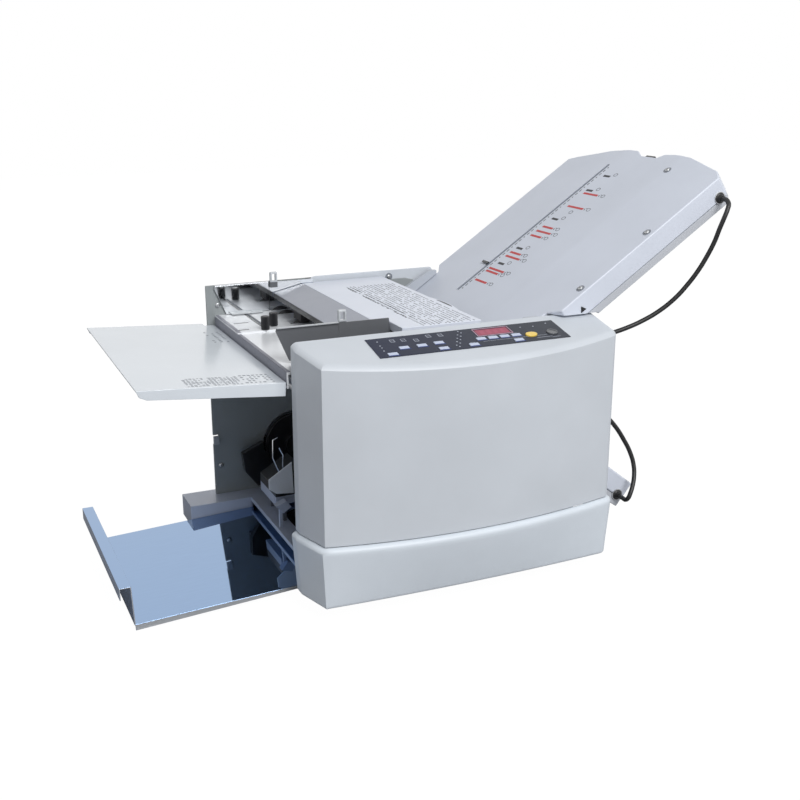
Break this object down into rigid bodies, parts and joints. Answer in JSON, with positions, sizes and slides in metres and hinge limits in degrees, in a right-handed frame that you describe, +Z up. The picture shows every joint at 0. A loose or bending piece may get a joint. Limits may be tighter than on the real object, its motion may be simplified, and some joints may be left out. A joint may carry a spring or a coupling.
{
  "type": "paper folding machine",
  "caption": "Desktop paper folding machine with an infeed table and side guides, a sloping control panel, two buckle fold plates and a polished delivery tray.",
  "frame": {"origin": "centre of the machine's footprint box, on the surface it stands on", "axes": "+X along the machine from the feed table to the fold plates, +Y from the operator's side to the back, +Z up"},
  "size_m": [0.954, 0.5374, 0.5926],
  "materials": {
    "base_grey": "satin painted sheet",
    "rubber": "matt rubber",
    "frame_grey": "satin zinc-grey sheet",
    "bright_steel": "turned steel",
    "cover_grey": "fine matt moulded plastic",
    "screw_steel": "plated screw heads",
    "deck_grey": "satin painted sheet",
    "guide_grey": "satin dark sheet",
    "black_plastic": "knurled plastic",
    "table_white": "semi-gloss painted sheet",
    "separator_grey": "satin moulded plastic",
    "lid_grey": "smooth moulded plastic",
    "feed_rubber": "ground rubber",
    "roller_rubber": "ground rubber",
    "bronze": "sintered bronze",
    "motor_black": "matt black paint",
    "alloy": "turned",
    "delivery_black": "satin black",
    "bracket_grey": "satin sheet",
    "polished_steel": "mirror-polished stainless steel",
    "plate_grey": "fine matt moulded plastic",
    "panel_navy": "satin printed film",
    "start_yellow": "satin",
    "stop_grey": "satin clear grey",
    "cord_black": "satin jacket",
    "key_blue": "satin keycap"
  },
  "bodies": {
    "machine": {"base_pan": "base_grey", "feet": "rubber", "front_frame": "frame_grey", "rear_frame": "frame_grey", "tie_bars": "bright_steel", "front_cover": "cover_grey", "front_skirt": "cover_grey", "rear_cover": "cover_grey", "end_panel": "cover_grey", "screws": "screw_steel", "infeed_deck": "deck_grey", "side_plates": "guide_grey", "guide_rail": "bright_steel", "hinge_pins": "bright_steel", "separator_cover": "separator_grey", "separator_pad": "black_plastic", "bearings": "bronze", "drive_motor": "motor_black", "drive_belt": "rubber", "delivery_bracket": "bracket_grey", "upper_plate_top": "plate_grey", "upper_plate_bottom": "plate_grey", "plate_rests": "plate_grey", "lower_plate_top": "plate_grey", "lower_plate_bottom": "plate_grey", "control_panel": "panel_navy", "power_inlet": "black_plastic", "upper_cord": "cord_black", "lower_cord": "cord_black", "cord_glands": "cord_black"},
    "feed_table": {"feed_table": "table_white"},
    "front_guide": {"front_guide": "guide_grey"},
    "rear_guide": {"rear_guide": "guide_grey"},
    "front_knob": {"lock_knob_front": "black_plastic"},
    "rear_knob": {"lock_knob_rear": "black_plastic"},
    "top_cover": {"top_cover": "lid_grey"},
    "feed_roller": {"feed_roller": "feed_rubber"},
    "roller_1": {"fold_roller_1": "roller_rubber"},
    "roller_2": {"fold_roller_2": "roller_rubber"},
    "roller_3": {"fold_roller_3": "roller_rubber"},
    "roller_4": {"fold_roller_4": "roller_rubber"},
    "motor_shaft": {"motor_pulley": "alloy"},
    "delivery_roller": {"delivery_roller": "delivery_black"},
    "delivery_tray": {"delivery_tray": "polished_steel"},
    "upper_stop": {"upper_stop": "black_plastic"},
    "lower_stop": {"lower_stop": "black_plastic"},
    "start_button": {"start_button": "start_yellow"},
    "stop_button": {"stop_button": "stop_grey"},
    "power_rocker": {"power_rocker": "black_plastic"},
    "key_01": {"key_01": "key_blue"},
    "key_02": {"key_02": "key_blue"},
    "key_03": {"key_03": "key_blue"},
    "key_04": {"key_04": "key_blue"},
    "key_05": {"key_05": "key_blue"},
    "key_06": {"key_06": "key_blue"},
    "key_07": {"key_07": "key_blue"},
    "key_08": {"key_08": "key_blue"},
    "key_09": {"key_09": "key_blue"},
    "key_10": {"key_10": "key_blue"},
    "key_11": {"key_11": "key_blue"}
  },
  "joints": [
    {"name": "table_fold", "type": "hinge", "parent": "machine", "child": "feed_table", "pos_m": [-0.2524, 0.0243, 0.321], "axis": [0, 1, 0], "range_deg": [-80, 0]},
    {"name": "top_cover_hinge", "type": "hinge", "parent": "machine", "child": "top_cover", "pos_m": [0.0416, 0.0243, 0.379], "axis": [0, 1, 0], "range_deg": [0, 75]},
    {"name": "front_guide_slide", "type": "slide", "parent": "machine", "child": "front_guide", "axis": [0, 1, 0], "range_m": [-0.035, 0.09]},
    {"name": "rear_guide_slide", "type": "slide", "parent": "machine", "child": "rear_guide", "axis": [0, -1, 0], "range_m": [0, 0.08]},
    {"name": "front_knob_turn", "type": "hinge", "parent": "machine", "child": "front_knob", "pos_m": [-0.1974, 0.0763, 0.345], "axis": [0, 0, 1], "range_deg": [-180, 180]},
    {"name": "rear_knob_turn", "type": "hinge", "parent": "machine", "child": "rear_knob", "pos_m": [-0.1784, 0.0953, 0.345], "axis": [0, 0, 1], "range_deg": [-180, 180]},
    {"name": "roller_2_spin", "type": "hinge", "parent": "machine", "child": "roller_2", "pos_m": [0.0426, 0.0243, 0.276], "axis": [0, 1, 0], "continuous": true},
    {"name": "roller_1_spin", "type": "hinge", "parent": "machine", "child": "roller_1", "pos_m": [0.03486, 0.0243, 0.30705], "axis": [0, 1, 0], "continuous": true},
    {"name": "roller_3_spin", "type": "hinge", "parent": "machine", "child": "roller_3", "pos_m": [0.07443, 0.0243, 0.27935], "axis": [0, 1, 0], "continuous": true},
    {"name": "roller_4_spin", "type": "hinge", "parent": "machine", "child": "roller_4", "pos_m": [0.03925, 0.0243, 0.24418], "axis": [0, 1, 0], "continuous": true},
    {"name": "motor_spin", "type": "hinge", "parent": "machine", "child": "motor_shaft", "pos_m": [0.0926, 0.0243, 0.1], "axis": [0, 1, 0], "continuous": true},
    {"name": "feed_roller_spin", "type": "hinge", "parent": "machine", "child": "feed_roller", "pos_m": [-0.1254, 0.0243, 0.327], "axis": [0, 1, 0], "continuous": true},
    {"name": "delivery_roller_spin", "type": "hinge", "parent": "machine", "child": "delivery_roller", "pos_m": [-0.1154, 0.0243, 0.115], "axis": [0, 1, 0], "continuous": true},
    {"name": "tray_slide", "type": "slide", "parent": "machine", "child": "delivery_tray", "axis": [0.9986, 0, 0.0523], "range_m": [0, 0.15]},
    {"name": "upper_stop_slide", "type": "slide", "parent": "machine", "child": "upper_stop", "axis": [0.829, 0, 0.5592], "range_m": [-0.06, 0.265]},
    {"name": "lower_stop_slide", "type": "slide", "parent": "machine", "child": "lower_stop", "axis": [-0.7912, 0, 0.6115], "range_m": [-0.13, 0.12]},
    {"name": "key_01_press", "type": "slide", "parent": "machine", "child": "key_01", "axis": [0, 0.2169, -0.9762], "range_m": [0, 0.0008], "stiffness_N_per_m": 300, "springref_m": -0.0008},
    {"name": "key_02_press", "type": "slide", "parent": "machine", "child": "key_02", "axis": [0, 0.2169, -0.9762], "range_m": [0, 0.0008], "stiffness_N_per_m": 300, "springref_m": -0.0008},
    {"name": "key_03_press", "type": "slide", "parent": "machine", "child": "key_03", "axis": [0, 0.2169, -0.9762], "range_m": [0, 0.0008], "stiffness_N_per_m": 300, "springref_m": -0.0008},
    {"name": "key_04_press", "type": "slide", "parent": "machine", "child": "key_04", "axis": [0, 0.2169, -0.9762], "range_m": [0, 0.0008], "stiffness_N_per_m": 300, "springref_m": -0.0008},
    {"name": "key_05_press", "type": "slide", "parent": "machine", "child": "key_05", "axis": [0, 0.2169, -0.9762], "range_m": [0, 0.0008], "stiffness_N_per_m": 300, "springref_m": -0.0008},
    {"name": "key_06_press", "type": "slide", "parent": "machine", "child": "key_06", "axis": [0, 0.2169, -0.9762], "range_m": [0, 0.0008], "stiffness_N_per_m": 300, "springref_m": -0.0008},
    {"name": "key_07_press", "type": "slide", "parent": "machine", "child": "key_07", "axis": [0, 0.2169, -0.9762], "range_m": [0, 0.0008], "stiffness_N_per_m": 300, "springref_m": -0.0008},
    {"name": "key_08_press", "type": "slide", "parent": "machine", "child": "key_08", "axis": [0, 0.2169, -0.9762], "range_m": [0, 0.0008], "stiffness_N_per_m": 300, "springref_m": -0.0008},
    {"name": "key_09_press", "type": "slide", "parent": "machine", "child": "key_09", "axis": [0, 0.2169, -0.9762], "range_m": [0, 0.0008], "stiffness_N_per_m": 300, "springref_m": -0.0008},
    {"name": "key_10_press", "type": "slide", "parent": "machine", "child": "key_10", "axis": [0, 0.2169, -0.9762], "range_m": [0, 0.0008], "stiffness_N_per_m": 300, "springref_m": -0.0008},
    {"name": "key_11_press", "type": "slide", "parent": "machine", "child": "key_11", "axis": [0, 0.2169, -0.9762], "range_m": [0, 0.0008], "stiffness_N_per_m": 300, "springref_m": -0.0008},
    {"name": "start_press", "type": "slide", "parent": "machine", "child": "start_button", "axis": [0, 0.2169, -0.9762], "range_m": [0, 0.0008], "stiffness_N_per_m": 400, "springref_m": -0.0008},
    {"name": "stop_press", "type": "slide", "parent": "machine", "child": "stop_button", "axis": [0, 0.2169, -0.9762], "range_m": [0, 0.0008], "stiffness_N_per_m": 400, "springref_m": -0.0008},
    {"name": "rocker_tilt", "type": "hinge", "parent": "machine", "child": "power_rocker", "pos_m": [0.1896, 0.2623, 0.074], "axis": [1, 0, 0], "range_deg": [-9, 9]}
  ],
  "couplings": [
    {"joint": "roller_1_spin", "follows": "roller_2_spin", "ratio": -1},
    {"joint": "roller_3_spin", "follows": "roller_2_spin", "ratio": -1},
    {"joint": "roller_4_spin", "follows": "roller_2_spin", "ratio": -1},
    {"joint": "motor_spin", "follows": "roller_2_spin", "ratio": 2},
    {"joint": "feed_roller_spin", "follows": "roller_2_spin", "ratio": 0.82105},
    {"joint": "delivery_roller_spin", "follows": "roller_2_spin", "ratio": -1.1143}
  ]
}
